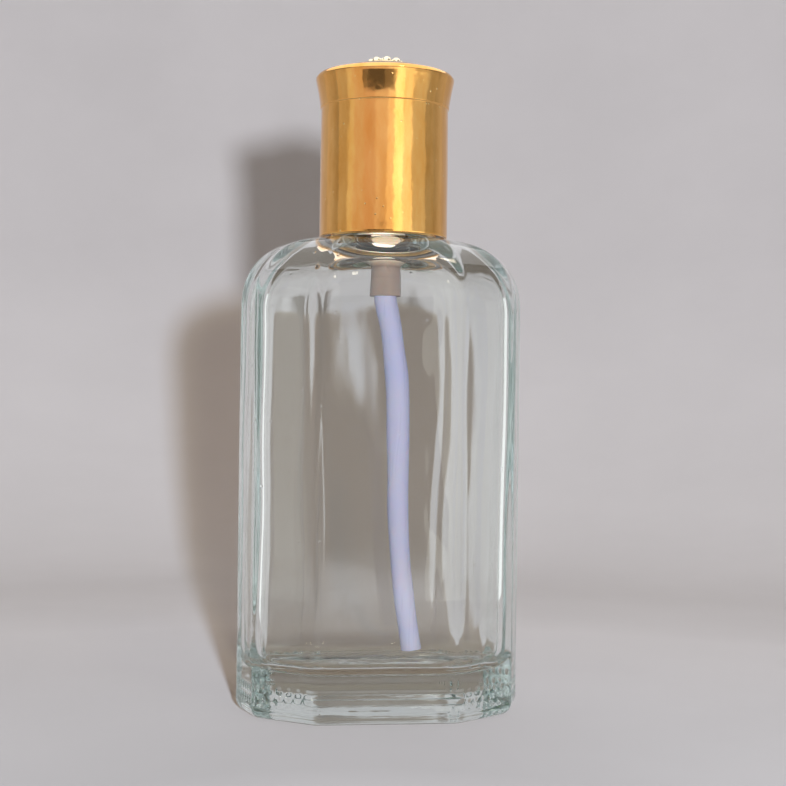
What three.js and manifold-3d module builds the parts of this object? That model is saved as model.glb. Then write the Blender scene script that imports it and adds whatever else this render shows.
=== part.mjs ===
// A 50 ml glass perfume spray bottle with a crimped pump, a press-down spray button and a
// pull-off gold cap. Millimetres, +Z up the bottle's axis, -Y to the front, with the origin at
// the centre of the base. The model is shown at rest: cap on, button up, valve ball seated.

import * as THREE from "three";
import { mergeVertices } from "three/addons/utils/BufferGeometryUtils.js";
import Module from "manifold-3d";

const wasm = await Module();
wasm.setup();

// ---------------------------------------------------------------- driving dimensions

// The glass body is a ten-sided prism whose faces all turn by the same angle. It is flattened
// by giving each kind of face its own distance from the axis.
const SIDES = 10;
const FACE_TURN = (2 * Math.PI) / SIDES;
const FRONT_REACH = 14.75;
const DIAGONAL_REACH = 19.2;
const END_REACH = 23.45;
const WALL = 2.6;
const OUTER_EDGE_RADIUS = 3;
const INNER_EDGE_RADIUS = 5.5;

const SHOULDER_BASE_Z = 68.6;
const SHOULDER_TOP_Z = 81.5;
const SHOULDER_FULLNESS = 2.5;
const BASE_THICKNESS = 7.6;
const NECK_TOP_Z = 91.5;
const NECK_RADIUS = 6.9;
const BEAD_RADIUS = 7.5;
const BORE_RADIUS = 4.7;

const STROKE = 3.8;
const CHAMBER_RADIUS = 3.2;
const ROD_RADIUS = 1.2;
const STEM_RADIUS = 1.6;
const TUBE_RADIUS = 1.6;
const TUBE_BORE = 0.95;
const BALL_RADIUS = 1.2;

const SHEET = 0.35; // thickness of the aluminium ferrule, collar and button shells
const COLLAR_RADIUS = 9.2;
const BUTTON_RADIUS = 6.35;
const CAP_RADIUS = 11.1;
const CAP_RIM_Z = 81.8;
const CAP_CREASE_Z = 104.1;
const FLARE_RADIUS = 12.05;
const FLARE_Z = 109.2;

const FIT = 0.05; // gap left between two pieces that touch
const FINE = 40; // segments round the outer turned pieces
const COARSE = 24; // segments round the small inner ones

// ---------------------------------------------------------------- colours and finishes

const finish = (color, roughness, metalness = 0) =>
  new THREE.MeshStandardMaterial({ color, roughness, metalness });

const GLASS = finish(0xdfe8e2, 0.03);
const GOLD = finish(0xd9a13a, 0.18, 1);
const WHITE_PLASTIC = finish(0xf2f2f0, 0.45);
const CLEAR_PLASTIC = finish(0xe3e5f0, 0.4);
const RUBBER = finish(0x5a5a5c, 0.8);
const STEEL = finish(0xc8cacc, 0.25, 1);
const JEWEL = finish(0xf3e6bd, 0.15, 1);

// ---------------------------------------------------------------- shape helpers

// A geometry as a manifold-3d solid, with its faces turned outwards.
function solid(geometry) {
  const bare = geometry.clone();
  bare.deleteAttribute("normal");
  bare.deleteAttribute("uv");
  const merged = mergeVertices(bare, 1e-4);
  const corners = [];
  for (let i = 0; i < merged.index.count; i += 3) {
    const [a, b, c] = [0, 1, 2].map((k) => merged.index.getX(i + k));
    if (a !== b && b !== c && c !== a) corners.push([a, b, c]);
  }
  const build = (triangles) =>
    new wasm.Manifold(
      new wasm.Mesh({
        numProp: 3,
        vertProperties: merged.attributes.position.array,
        triVerts: new Uint32Array(triangles.flat()),
      }),
    );
  const made = build(corners);
  return made.volume() > 0 ? made : build(corners.map(([a, b, c]) => [a, c, b]));
}

function geometryOf(manifold) {
  const { vertProperties, triVerts } = manifold.getMesh();
  return new THREE.BufferGeometry()
    .setAttribute("position", new THREE.BufferAttribute(vertProperties, 3))
    .setIndex(new THREE.BufferAttribute(triVerts, 1));
}

// A solid turned about +Z from [radius, height] points that close on themselves or on the axis.
function turned(profile, segments = COARSE) {
  const touchesAxis = profile[0][0] === 0;
  const outline = touchesAxis ? profile : [...profile, profile[0]];
  const points = outline.map(([radius, z]) => new THREE.Vector2(radius, z));
  return solid(new THREE.LatheGeometry(points, segments).rotateX(Math.PI / 2));
}

// Points along an arc in the [radius, height] plane, from one angle in degrees to another.
function arc([r, z], radius, from, to, steps = 3) {
  return Array.from({ length: steps + 1 }, (_, i) => {
    const angle = THREE.MathUtils.degToRad(from + ((to - from) * i) / steps);
    return [r + radius * Math.cos(angle), z + radius * Math.sin(angle)];
  });
}

const disc = (radius, low, high, segments = COARSE) =>
  turned([[0, low], [radius, low], [radius, high], [0, high]], segments);

const ring = (inner, outer, low, high, segments = COARSE) =>
  turned([[inner, low], [outer, low], [outer, high], [inner, high]], segments);

// A round bar along Y, from one depth to another, at a height above the base.
function barAlongY(radius, from, to, z, segments = COARSE) {
  const bar = new THREE.CylinderGeometry(radius, radius, to - from, segments);
  return solid(bar.translate(0, (from + to) / 2, z));
}

function box(width, depth, height, x, y, z) {
  return solid(new THREE.BoxGeometry(width, depth, height).translate(x, y, z));
}

// ---------------------------------------------------------------- glass body

const REACHES = [END_REACH, DIAGONAL_REACH, FRONT_REACH, DIAGONAL_REACH, END_REACH];
const EDGE_STEPS = 2;

// The point where two faces meet, each given by its outward angle and distance from the axis.
function meetingPoint(angleA, reachA, angleB, reachB) {
  const turn = Math.sin(angleB - angleA);
  return new THREE.Vector2(
    (reachA * Math.sin(angleB) - reachB * Math.sin(angleA)) / turn,
    (reachB * Math.cos(angleA) - reachA * Math.cos(angleB)) / turn,
  );
}

// The ten-sided outline moved in by inset, with rounded edges and one point amid each face.
function section(inset, edgeRadius) {
  const outline = [];
  for (let face = 0; face < SIDES; face++) {
    const angle = FACE_TURN * (face + 0.5);
    const [here, next] = [face, face + 1].map(
      (k) => REACHES[k % REACHES.length] - inset - edgeRadius,
    );
    const centre = meetingPoint(angle, here, angle + FACE_TURN, next);
    for (let step = 0; step <= EDGE_STEPS; step++) {
      const around = angle + (FACE_TURN * step) / EDGE_STEPS;
      const out = new THREE.Vector2(Math.cos(around), Math.sin(around));
      outline.push(centre.clone().addScaledVector(out, edgeRadius));
    }
  }
  const perFace = EDGE_STEPS + 1;
  return outline.flatMap((point, i) => {
    const after = outline[(i + 1) % outline.length];
    const endsEdge = i % perFace === perFace - 1;
    return endsEdge ? [point, point.clone().lerp(after, 0.5)] : [point];
  });
}

const atHeight = (outline, z) => outline.map((p) => new THREE.Vector3(p.x, p.y, z));

// The outline drawn in to a circle, keeping each point's direction from the axis.
const circled = (outline, radius, z) =>
  outline.map((p) => new THREE.Vector3(p.x, p.y, 0).setLength(radius).setZ(z));

// Rings from the full outline up to the neck circle, along a superellipse.
function shoulderRings(outline, circleRadius, low, high, steps) {
  return Array.from({ length: steps + 1 }, (_, i) => {
    const angle = (Math.PI / 2) * (i / steps);
    const width = Math.cos(angle) ** (2 / SHOULDER_FULLNESS);
    const rise = Math.sin(angle) ** (2 / SHOULDER_FULLNESS);
    return outline.map((p) => {
      const reach = circleRadius + (p.length() - circleRadius) * width;
      const z = low + (high - low) * rise;
      return new THREE.Vector3(p.x, p.y, 0).setLength(reach).setZ(z);
    });
  });
}

// One closed surface through rings of equally many points, closed at both ends on the axis.
function lofted(rings) {
  const around = rings[0].length;
  const positions = rings.flat().flatMap((p) => [p.x, p.y, p.z]);
  const index = [];
  for (let level = 0; level + 1 < rings.length; level++) {
    for (let i = 0; i < around; i++) {
      const [a, b] = [i, (i + 1) % around].map((k) => level * around + k);
      index.push(a, b, b + around, a, b + around, a + around);
    }
  }
  const bottom = positions.length / 3;
  const last = (rings.length - 1) * around;
  positions.push(0, 0, rings[0][0].z, 0, 0, rings.at(-1)[0].z);
  for (let i = 0; i < around; i++) {
    const next = (i + 1) % around;
    index.push(bottom, next, i, bottom + 1, last + i, last + next);
  }
  const geometry = new THREE.BufferGeometry();
  geometry.setAttribute("position", new THREE.Float32BufferAttribute(positions, 3));
  geometry.setIndex(index);
  return solid(geometry);
}

function glassBottle() {
  const recessDepth = 0.7;
  const recessInset = 5;
  const bearingInset = 4.2;
  const heelInset = 2;
  const heelHeight = 2.4;
  const outer = section(0, OUTER_EDGE_RADIUS);
  const heel = [0, 30, 60, 90].map((degrees) => {
    const angle = THREE.MathUtils.degToRad(degrees);
    const inset = heelInset * (1 - Math.sin(angle));
    return atHeight(section(inset, OUTER_EDGE_RADIUS), heelHeight * (1 - Math.cos(angle)));
  });
  const filletRadius = 1.5;
  const root = [60, 30, 0].map((degrees) => {
    const angle = THREE.MathUtils.degToRad(degrees);
    const radius = NECK_RADIUS + filletRadius * (1 - Math.cos(angle));
    return circled(outer, radius, SHOULDER_TOP_Z + filletRadius * (1 - Math.sin(angle)));
  });
  const finishHeights = [
    [NECK_RADIUS, NECK_TOP_Z - 5],
    [BEAD_RADIUS, NECK_TOP_Z - 4.4],
    [BEAD_RADIUS, NECK_TOP_Z - 0.4],
    [BEAD_RADIUS - 0.4, NECK_TOP_Z],
    [BORE_RADIUS + 0.3, NECK_TOP_Z],
    [BORE_RADIUS, NECK_TOP_Z - 0.3],
  ];
  const cornerRadius = 4;
  const inner = section(WALL, INNER_EDGE_RADIUS);
  const cavityShoulder = shoulderRings(
    inner, BORE_RADIUS, SHOULDER_BASE_Z - 1, SHOULDER_TOP_Z - 2.8, 7,
  ).reverse();
  const floor = [30, 60, 90].map((degrees) => {
    const angle = THREE.MathUtils.degToRad(degrees);
    const inset = cornerRadius * (1 - Math.cos(angle));
    const z = BASE_THICKNESS + cornerRadius * (1 - Math.sin(angle));
    return atHeight(section(WALL + inset, INNER_EDGE_RADIUS), z);
  });
  const floorEdge = atHeight(inner, BASE_THICKNESS + cornerRadius);
  return lofted([
    atHeight(section(recessInset, OUTER_EDGE_RADIUS), recessDepth),
    atHeight(section(bearingInset, OUTER_EDGE_RADIUS), 0),
    ...heel,
    ...shoulderRings(outer, NECK_RADIUS + filletRadius, SHOULDER_BASE_Z, SHOULDER_TOP_Z, 9),
    ...root,
    ...finishHeights.map(([radius, z]) => circled(outer, radius, z)),
    ...cavityShoulder,
    floorEdge,
    ...floor,
  ]);
}

// ---------------------------------------------------------------- pump, from the neck upwards

const GASKET_TOP_Z = NECK_TOP_Z + 1;
const FLANGE_TOP_Z = GASKET_TOP_Z + 1.2;
const FLANGE_RADIUS = 7.2;
const LEDGE_Z = NECK_TOP_Z - 9.3; // floor of the pump chamber, where the spring stands
const SEAT_Z = LEDGE_Z - 3.2; // edge that the ball closes
const SOCKET_TOP_Z = SEAT_Z - 0.4;
const NOZZLE_END_Z = SOCKET_TOP_Z - 7;
const SPRING_TOP_Z = LEDGE_Z + 6.1;
const BELL_TOP_Z = FLANGE_TOP_Z + 1.9;
const TOWER_TOP_Z = BELL_TOP_Z + 1.8;
const FERRULE_TOP_Z = FLANGE_TOP_Z + 1.5;
const BUTTON_BASE_Z = FERRULE_TOP_Z + STROKE + 0.2;
const STEM_TOP_Z = BUTTON_BASE_Z + 4.7;
const NOZZLE_Z = STEM_TOP_Z + 0.35;
const BUTTON_TOP_Z = BUTTON_BASE_Z + 7.5;

function neckGasket() {
  return ring(BORE_RADIUS + 0.2, FLANGE_RADIUS, NECK_TOP_Z + FIT, GASKET_TOP_Z, 32);
}

function pumpHousing() {
  const barrel = 4.2;
  const nipple = 2.35;
  return turned([
    [TUBE_RADIUS + FIT, NOZZLE_END_Z],
    [nipple - 0.25, NOZZLE_END_Z],
    [nipple, NOZZLE_END_Z + 0.5],
    [nipple, LEDGE_Z - 4],
    [barrel, LEDGE_Z - 1.6],
    [barrel, GASKET_TOP_Z + FIT],
    [FLANGE_RADIUS, GASKET_TOP_Z + FIT],
    [FLANGE_RADIUS, FLANGE_TOP_Z],
    [CHAMBER_RADIUS, FLANGE_TOP_Z],
    [CHAMBER_RADIUS, LEDGE_Z],
    [BALL_RADIUS + 0.35, LEDGE_Z],
    [BALL_RADIUS + 0.35, SEAT_Z + 0.6],
    [0.85, SEAT_Z],
    [0.85, SOCKET_TOP_Z],
    [TUBE_RADIUS + FIT, SOCKET_TOP_Z],
  ]);
}

// The tube leaves the socket on the axis and bows towards +X on its way to the floor.
const TUBE_ROUTE = [
  [0, SOCKET_TOP_Z - 0.2],
  [0, SOCKET_TOP_Z - 4],
  [0.05, NOZZLE_END_Z - 0.6],
  [1.1, 65],
  [2.2, 56],
  [2.9, 45],
  [3.4, 33],
  [4.4, 21],
  [6, 10.2],
];

function dipTube() {
  const route = new THREE.CatmullRomCurve3(
    TUBE_ROUTE.map(([x, z]) => new THREE.Vector3(x, 0, z)),
  );
  const wall = new THREE.Shape().absarc(0, 0, TUBE_RADIUS, 0, 2 * Math.PI);
  wall.holes.push(new THREE.Path().absarc(0, 0, TUBE_BORE, 0, 2 * Math.PI));
  return solid(
    new THREE.ExtrudeGeometry(wall, { steps: 26, curveSegments: 5, extrudePath: route }),
  );
}

function inletBall() {
  const ball = new THREE.SphereGeometry(BALL_RADIUS, 16, 10).rotateX(Math.PI / 2);
  return solid(ball.translate(0, 0, SEAT_Z + 0.95));
}

class Coil extends THREE.Curve {
  constructor(radius, low, high, turns) {
    super();
    Object.assign(this, { radius, low, high, turns });
  }

  getPoint(t, target = new THREE.Vector3()) {
    const angle = 2 * Math.PI * this.turns * t;
    const z = THREE.MathUtils.lerp(this.low, this.high, t);
    return target.set(this.radius * Math.cos(angle), this.radius * Math.sin(angle), z);
  }
}

function returnSpring() {
  const wire = 0.225;
  const turns = 5;
  const clear = wire + FIT;
  const path = new Coil(2.45, LEDGE_Z + clear, SPRING_TOP_Z - clear, turns);
  const section = new THREE.Shape().absarc(0, 0, wire, 0, 2 * Math.PI);
  return solid(
    new THREE.ExtrudeGeometry(section, { steps: turns * 14, curveSegments: 3, extrudePath: path }),
  );
}

// The core pin pushed up into the stem. Its cone closes the piston from below.
function pistonSeat() {
  const flangeTop = SPRING_TOP_Z + 0.8;
  const top = BELL_TOP_Z + 0.8;
  const pin = turned([
    [0, SPRING_TOP_Z - 1.3],
    [2, SPRING_TOP_Z - 1.3],
    [2, SPRING_TOP_Z],
    [2.9, SPRING_TOP_Z],
    [2.9, flangeTop],
    [2.2, flangeTop],
    [ROD_RADIUS, flangeTop + 0.75],
    [ROD_RADIUS, top],
    [0, top],
  ]);
  const grooveBase = flangeTop + 1.2;
  const grooves = [-1, 1].map((side) =>
    box(0.8, 0.5, top - grooveBase, side * ROD_RADIUS, 0, (top + grooveBase) / 2),
  );
  return grooves.reduce((cut, groove) => cut.subtract(groove), pin);
}

const PISTON_BASE_Z = SPRING_TOP_Z + 1.45;

function piston() {
  const lip = CHAMBER_RADIUS - 0.08;
  const waist = 2.6;
  const bore = ROD_RADIUS + 0.35;
  const body = PISTON_BASE_Z + 3.2;
  return turned([
    [bore, PISTON_BASE_Z],
    [waist - 0.4, PISTON_BASE_Z],
    [lip, PISTON_BASE_Z - 0.2],
    [lip, PISTON_BASE_Z + 0.3],
    [waist, PISTON_BASE_Z + 1],
    [waist, body - 1],
    [lip, body - 0.3],
    [lip, body],
    [waist - 0.3, body - 0.2],
    [2.05, body],
    [2.05, body + 1.2],
    [bore, body + 1.2],
  ]);
}

function pumpStem() {
  const bellBore = 2.3;
  const ceiling = BELL_TOP_Z - 0.7;
  const rodHole = ROD_RADIUS + FIT;
  return turned([
    [bellBore, FLANGE_TOP_Z + 0.1],
    [2.9, FLANGE_TOP_Z + 0.1],
    [2.9, BELL_TOP_Z],
    [STEM_RADIUS, BELL_TOP_Z],
    [STEM_RADIUS, STEM_TOP_Z - 0.3],
    [STEM_RADIUS - 0.3, STEM_TOP_Z],
    [0.8, STEM_TOP_Z],
    [0.8, BELL_TOP_Z + 1],
    [rodHole, BELL_TOP_Z + 1],
    [rodHole, ceiling],
    [bellBore, ceiling],
  ]);
}

function stemSeal() {
  return ring(STEM_RADIUS + FIT, 2.95, BELL_TOP_Z + FIT, BELL_TOP_Z + 0.7);
}

// The plastic closure over the chamber, with a tower that guides the stem.
function pumpTurret() {
  const flange = FLANGE_TOP_Z + 1.1;
  const tower = 4.5;
  return turned([
    [CHAMBER_RADIUS, FLANGE_TOP_Z + FIT],
    [FLANGE_RADIUS, FLANGE_TOP_Z + FIT],
    [FLANGE_RADIUS, flange],
    [tower, flange],
    [tower, TOWER_TOP_Z - 0.4],
    [tower - 0.4, TOWER_TOP_Z],
    [STEM_RADIUS + 0.15, TOWER_TOP_Z],
    [STEM_RADIUS + 0.15, BELL_TOP_Z + 0.75],
    [CHAMBER_RADIUS, BELL_TOP_Z + 0.75],
  ]);
}

// The aluminium cup that holds the pump down, with its skirt crimped in below the neck bead.
function crimpFerrule() {
  const inside = BEAD_RADIUS + 0.1;
  const outside = inside + SHEET;
  const crimp = NECK_TOP_Z - 5.15;
  return turned(
    [
      [4.6, FERRULE_TOP_Z],
      [4.6, FERRULE_TOP_Z - SHEET],
      [inside, FERRULE_TOP_Z - SHEET],
      [inside, crimp + 0.65],
      [7.1, crimp],
      [7.1, crimp - 0.4],
      [7.1 + SHEET, crimp - 0.4],
      [7.1 + SHEET, crimp - 0.1],
      [outside, crimp + 0.55],
      ...arc([outside - 0.5, FERRULE_TOP_Z - 0.5], 0.5, 0, 90, 2),
    ],
    32,
  );
}

const COLLAR_BASE_Z = CAP_RIM_Z + 0.1;
const COLLAR_TOP_Z = FERRULE_TOP_Z + 0.7;

function collarInsert() {
  const inside = 8.05;
  const outside = COLLAR_RADIUS - SHEET - FIT;
  const hook = NECK_TOP_Z - 6.6;
  return turned(
    [
      [outside, COLLAR_BASE_Z + 0.3],
      [outside, COLLAR_TOP_Z - SHEET - FIT],
      [inside, COLLAR_TOP_Z - SHEET - FIT],
      [inside, hook + 0.8],
      [inside - 0.5, hook + 0.6],
      [inside - 0.5, hook + 0.2],
      [inside, hook],
      [inside, COLLAR_BASE_Z + 0.3],
    ],
    FINE,
  );
}

function collarShell() {
  const inside = COLLAR_RADIUS - SHEET;
  const mouth = BUTTON_RADIUS + 0.55;
  return turned(
    [
      [inside, COLLAR_BASE_Z],
      [COLLAR_RADIUS, COLLAR_BASE_Z],
      ...arc([COLLAR_RADIUS - 0.6, COLLAR_TOP_Z - 0.6], 0.6, 0, 90),
      [mouth, COLLAR_TOP_Z],
      [mouth, COLLAR_TOP_Z - SHEET],
      [inside, COLLAR_TOP_Z - SHEET],
    ],
    FINE,
  );
}

// ---------------------------------------------------------------- spray button

const NOZZLE_RADIUS = 1.6;
const NOZZLE_FACE_Y = -(BUTTON_RADIUS - 0.15);

function actuatorCore() {
  const outside = BUTTON_RADIUS - SHEET - FIT * 2;
  const skirtBore = 4.9;
  const roof = BUTTON_BASE_Z + 3.2;
  const top = BUTTON_TOP_Z - SHEET - FIT;
  const boss = 2.6;
  const socket = STEM_RADIUS + FIT;
  const body = turned(
    [
      [0, STEM_TOP_Z + FIT],
      [socket, STEM_TOP_Z + FIT],
      [socket, TOWER_TOP_Z + STROKE + 0.15],
      [boss, TOWER_TOP_Z + STROKE + 0.15],
      [boss, roof],
      [skirtBore, roof],
      [skirtBore, BUTTON_BASE_Z + 0.2],
      [outside, BUTTON_BASE_Z + 0.2],
      [outside, top],
      [0, top],
    ],
    32,
  );
  const pocket = barAlongY(NOZZLE_RADIUS + 0.1, -outside - 1, -3.6, NOZZLE_Z);
  const riser = disc(0.5, STEM_TOP_Z - 0.5, NOZZLE_Z + 0.4, 12);
  const channel = barAlongY(0.5, -4, 0, NOZZLE_Z, 12);
  return body.subtract(pocket).subtract(riser).subtract(channel);
}

function actuatorShell() {
  const inside = BUTTON_RADIUS - SHEET;
  const edge = 0.7;
  const shell = turned(
    [
      [0, BUTTON_TOP_Z - SHEET],
      [inside, BUTTON_TOP_Z - SHEET],
      [inside, BUTTON_BASE_Z],
      [BUTTON_RADIUS, BUTTON_BASE_Z],
      ...arc([BUTTON_RADIUS - edge, BUTTON_TOP_Z - edge], edge, 0, 90),
      [0, BUTTON_TOP_Z],
    ],
    FINE,
  );
  const window = barAlongY(NOZZLE_RADIUS + 0.2, -BUTTON_RADIUS - 1, -3, NOZZLE_Z);
  return shell.subtract(window);
}

function nozzleInsert() {
  const body = barAlongY(NOZZLE_RADIUS, NOZZLE_FACE_Y, -3.7, NOZZLE_Z);
  const orifice = barAlongY(0.2, NOZZLE_FACE_Y - 1, -3, NOZZLE_Z, 8);
  const dish = new THREE.ConeGeometry(0.9, 0.9, COARSE).translate(0, NOZZLE_FACE_Y + 0.4, NOZZLE_Z);
  return body.subtract(orifice).subtract(solid(dish));
}

// ---------------------------------------------------------------- cap

const LINER_TOP_Z = 107.9;
const LINER_OUTSIDE = CAP_RADIUS - 0.55;
const PLATE_SEAT_Z = 109.7;
const PLATE_RADIUS = 9.6;
const PLATE_TOP_Z = 111.5;
const ROSETTE_TOP_Z = 113.4;

function capLiner() {
  const inside = 9.5;
  const ceiling = LINER_TOP_Z - 0.7;
  const cup = turned(
    [
      [0, ceiling],
      [inside, ceiling],
      [inside, CAP_RIM_Z + 0.5],
      [LINER_OUTSIDE, CAP_RIM_Z + 0.5],
      [LINER_OUTSIDE, LINER_TOP_Z],
      [0, LINER_TOP_Z],
    ],
    FINE,
  );
  const ribs = 6;
  const ribHeight = 11;
  const ribInside = COLLAR_RADIUS + 0.1;
  let ribbed = cup;
  for (let rib = 0; rib < ribs; rib++) {
    const depth = (LINER_OUTSIDE + inside) / 2 - ribInside;
    const grip = new THREE.BoxGeometry(depth, 0.8, ribHeight)
      .translate(ribInside + depth / 2, 0, CAP_RIM_Z + 1 + ribHeight / 2)
      .rotateZ((2 * Math.PI * (rib + 0.5)) / ribs);
    ribbed = ribbed.add(solid(grip));
  }
  return ribbed;
}

// The gold shell: a straight sleeve up to the crease, then a head that flares to the rim.
function capShell() {
  const inside = LINER_OUTSIDE + FIT;
  const sleeveTop = CAP_RADIUS - 0.1;
  const flareSteps = 5;
  const flare = Array.from({ length: flareSteps + 1 }, (_, i) => {
    const t = i / flareSteps;
    const spread = 0.12 + (FLARE_RADIUS - sleeveTop - 0.12) * t ** 1.25;
    return [sleeveTop + spread, CAP_CREASE_Z + 0.1 + (FLARE_Z - CAP_CREASE_Z - 0.1) * t];
  });
  return turned(
    [
      [0, LINER_TOP_Z + 0.1],
      [inside, LINER_TOP_Z + 0.1],
      [inside, CAP_RIM_Z],
      [CAP_RADIUS - 0.15, CAP_RIM_Z],
      [CAP_RADIUS, CAP_RIM_Z + 0.2],
      [sleeveTop, CAP_CREASE_Z],
      ...flare,
      ...arc([FLARE_RADIUS - 0.9, FLARE_Z], 0.9, 20, 80, 3),
      [PLATE_RADIUS + 0.1, 110.3],
      [PLATE_RADIUS + 0.1, PLATE_SEAT_Z],
      [0, PLATE_SEAT_Z],
    ],
    FINE,
  );
}

// The domed disc set into the head, flat in the middle where the rosette sits.
function capTopPlate() {
  const low = PLATE_SEAT_Z + FIT;
  const rise = PLATE_TOP_Z - 110.35;
  const dome = Array.from({ length: 5 }, (_, i) => {
    const t = i / 4;
    return [PLATE_RADIUS - (PLATE_RADIUS - 4.4) * t, 110.35 + rise * Math.sin((Math.PI / 2) * t)];
  });
  return turned([[0, low], [PLATE_RADIUS, low], ...dome, [0, PLATE_TOP_Z]], FINE);
}

function bead(radius, x, y, z) {
  const ball = new THREE.SphereGeometry(radius, 10, 6).rotateX(Math.PI / 2);
  return solid(ball.translate(x, y, z));
}

// A flower of beads on a small disc: eight round one larger one.
function capRosette() {
  const petals = 8;
  const petalRadius = 0.85;
  const petalRing = 2.4;
  const foot = PLATE_TOP_Z + FIT;
  let flower = disc(3.3, foot, foot + 0.6);
  for (let petal = 0; petal < petals; petal++) {
    const angle = (2 * Math.PI * petal) / petals;
    const [x, y] = [petalRing * Math.cos(angle), petalRing * Math.sin(angle)];
    flower = flower.add(bead(petalRadius, x, y, foot + 0.65));
  }
  const middleRadius = 1.3;
  const clearOfFoot = box(9, 9, 4, 0, 0, foot - 2);
  return flower
    .add(bead(middleRadius, 0, 0, ROSETTE_TOP_Z - middleRadius))
    .subtract(clearOfFoot);
}

// ---------------------------------------------------------------- assembly

const pieces = [
  ["glass_bottle", GLASS, glassBottle],
  ["neck_gasket", RUBBER, neckGasket],
  ["pump_housing", CLEAR_PLASTIC, pumpHousing],
  ["dip_tube", CLEAR_PLASTIC, dipTube],
  ["inlet_ball", STEEL, inletBall],
  ["return_spring", STEEL, returnSpring],
  ["piston_seat", WHITE_PLASTIC, pistonSeat],
  ["piston", WHITE_PLASTIC, piston],
  ["pump_stem", WHITE_PLASTIC, pumpStem],
  ["stem_seal", RUBBER, stemSeal],
  ["pump_turret", WHITE_PLASTIC, pumpTurret],
  ["crimp_ferrule", GOLD, crimpFerrule],
  ["collar_insert", WHITE_PLASTIC, collarInsert],
  ["collar_shell", GOLD, collarShell],
  ["actuator_core", WHITE_PLASTIC, actuatorCore],
  ["actuator_shell", GOLD, actuatorShell],
  ["nozzle_insert", WHITE_PLASTIC, nozzleInsert],
  ["cap_liner", WHITE_PLASTIC, capLiner],
  ["cap_shell", GOLD, capShell],
  ["cap_top_plate", GOLD, capTopPlate],
  ["cap_rosette", JEWEL, capRosette],
];

const bottle = new THREE.Group();
for (const [name, material, make] of pieces) {
  const mesh = new THREE.Mesh(geometryOf(make()), material);
  mesh.name = name;
  bottle.add(mesh);
}

export default bottle;
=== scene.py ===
"""The looks of a glass perfume spray bottle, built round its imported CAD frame.

Sizes are in millimetres and are turned into metres as each mesh is made. The bottle stands
upright on +Z and its spray nozzle points to -Y. Every piece turned on the lathe is given as an
outline of (radius, height, fillet) corners.
"""

import math

import bmesh
import bpy
from mathutils import Matrix, Vector, noise


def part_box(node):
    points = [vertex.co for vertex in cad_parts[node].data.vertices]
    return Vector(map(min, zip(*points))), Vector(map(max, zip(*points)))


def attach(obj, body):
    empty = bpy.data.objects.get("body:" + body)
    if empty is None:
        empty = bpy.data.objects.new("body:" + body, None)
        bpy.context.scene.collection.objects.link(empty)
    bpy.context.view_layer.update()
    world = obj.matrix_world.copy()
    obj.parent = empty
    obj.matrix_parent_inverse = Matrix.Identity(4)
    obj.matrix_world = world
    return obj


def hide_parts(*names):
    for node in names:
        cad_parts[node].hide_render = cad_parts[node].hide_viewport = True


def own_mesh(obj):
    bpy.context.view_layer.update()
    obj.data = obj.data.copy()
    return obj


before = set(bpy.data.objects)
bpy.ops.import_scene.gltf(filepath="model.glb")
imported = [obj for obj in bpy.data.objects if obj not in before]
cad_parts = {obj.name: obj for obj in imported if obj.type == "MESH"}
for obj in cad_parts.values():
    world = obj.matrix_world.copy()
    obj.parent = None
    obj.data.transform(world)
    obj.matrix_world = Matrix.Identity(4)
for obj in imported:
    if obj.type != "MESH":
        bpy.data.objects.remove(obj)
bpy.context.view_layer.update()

MM = 0.001
UP = Vector((0, 0, 1))

# ------------------------ levels, from the frame


def span(node):
    """The lowest and highest point of a CAD node, in millimetres."""
    low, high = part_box(node)
    return low.z / MM, high.z / MM


def radius_of(node):
    """The largest distance of a CAD node from the axis along X, in millimetres."""
    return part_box(node)[1].x / MM


NECK_TOP = span("glass_bottle")[1]
GASKET_TOP = span("neck_gasket")[1]
FLANGE_TOP = span("pump_housing")[1]
SPRING_FOOT, SPRING_TOP = NECK_TOP - 9.3, span("piston_seat")[0] + 1.3
BELL_TOP = FLANGE_TOP + 1.9
TOWER_TOP = span("pump_turret")[1]
FERRULE_TOP = span("crimp_ferrule")[1]
COLLAR_FOOT, COLLAR_TOP = span("collar_shell")
BUTTON_FOOT, BUTTON_TOP = span("actuator_shell")
STEM_TOP = span("pump_stem")[1]
NOZZLE_HEIGHT = sum(span("nozzle_insert")) / 2
CAP_RIM = span("cap_shell")[0]
LINER_FOOT, LINER_TOP = span("cap_liner")
PLATE_FOOT, PLATE_TOP = span("cap_top_plate")
ROSETTE_TOP = span("cap_rosette")[1]

FIT = 0.05  # the gap between touching pieces, or how far a rib is sunk
STROKE = 3.8  # how far the button goes down
SHEET = 0.35  # thickness of the gold sheet
STEM_RADIUS = 1.6
BELL_RADIUS = 2.9
FLANGE_RADIUS = 7.2
CHAMBER_RADIUS = 3.2
TUBE_RADIUS = 1.6
TUBE_BORE = 0.95
BALL_RADIUS = 1.2
COLLAR_RADIUS = radius_of("collar_shell")
BUTTON_RADIUS = radius_of("actuator_shell")
CAP_RADIUS = 11.1
FLARE_RADIUS = radius_of("cap_shell")
CAP_CREASE = CAP_RIM + 22.3
FLARE_HEIGHT = 109.2

# ------------------------ mesh helpers


def in_scene(name, data):
    """A new object in the scene, from a mesh, a light or a camera."""
    thing = bpy.data.objects.new(name, data)
    bpy.context.scene.collection.objects.link(thing)
    return thing


def mesh_object(name, vertices, faces, crease=32):
    """A smooth-shaded object from millimetre vertices, with faces turned outwards."""
    mesh = bpy.data.meshes.new(name)
    mesh.from_pydata([Vector(v) * MM for v in vertices], [], faces)
    work = bmesh.new()
    work.from_mesh(mesh)
    bmesh.ops.recalc_face_normals(work, faces=work.faces)
    work.to_mesh(mesh)
    work.free()
    mesh.shade_smooth()
    mesh.set_sharp_from_angle(angle=math.radians(crease))
    return in_scene(name, mesh)


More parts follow.
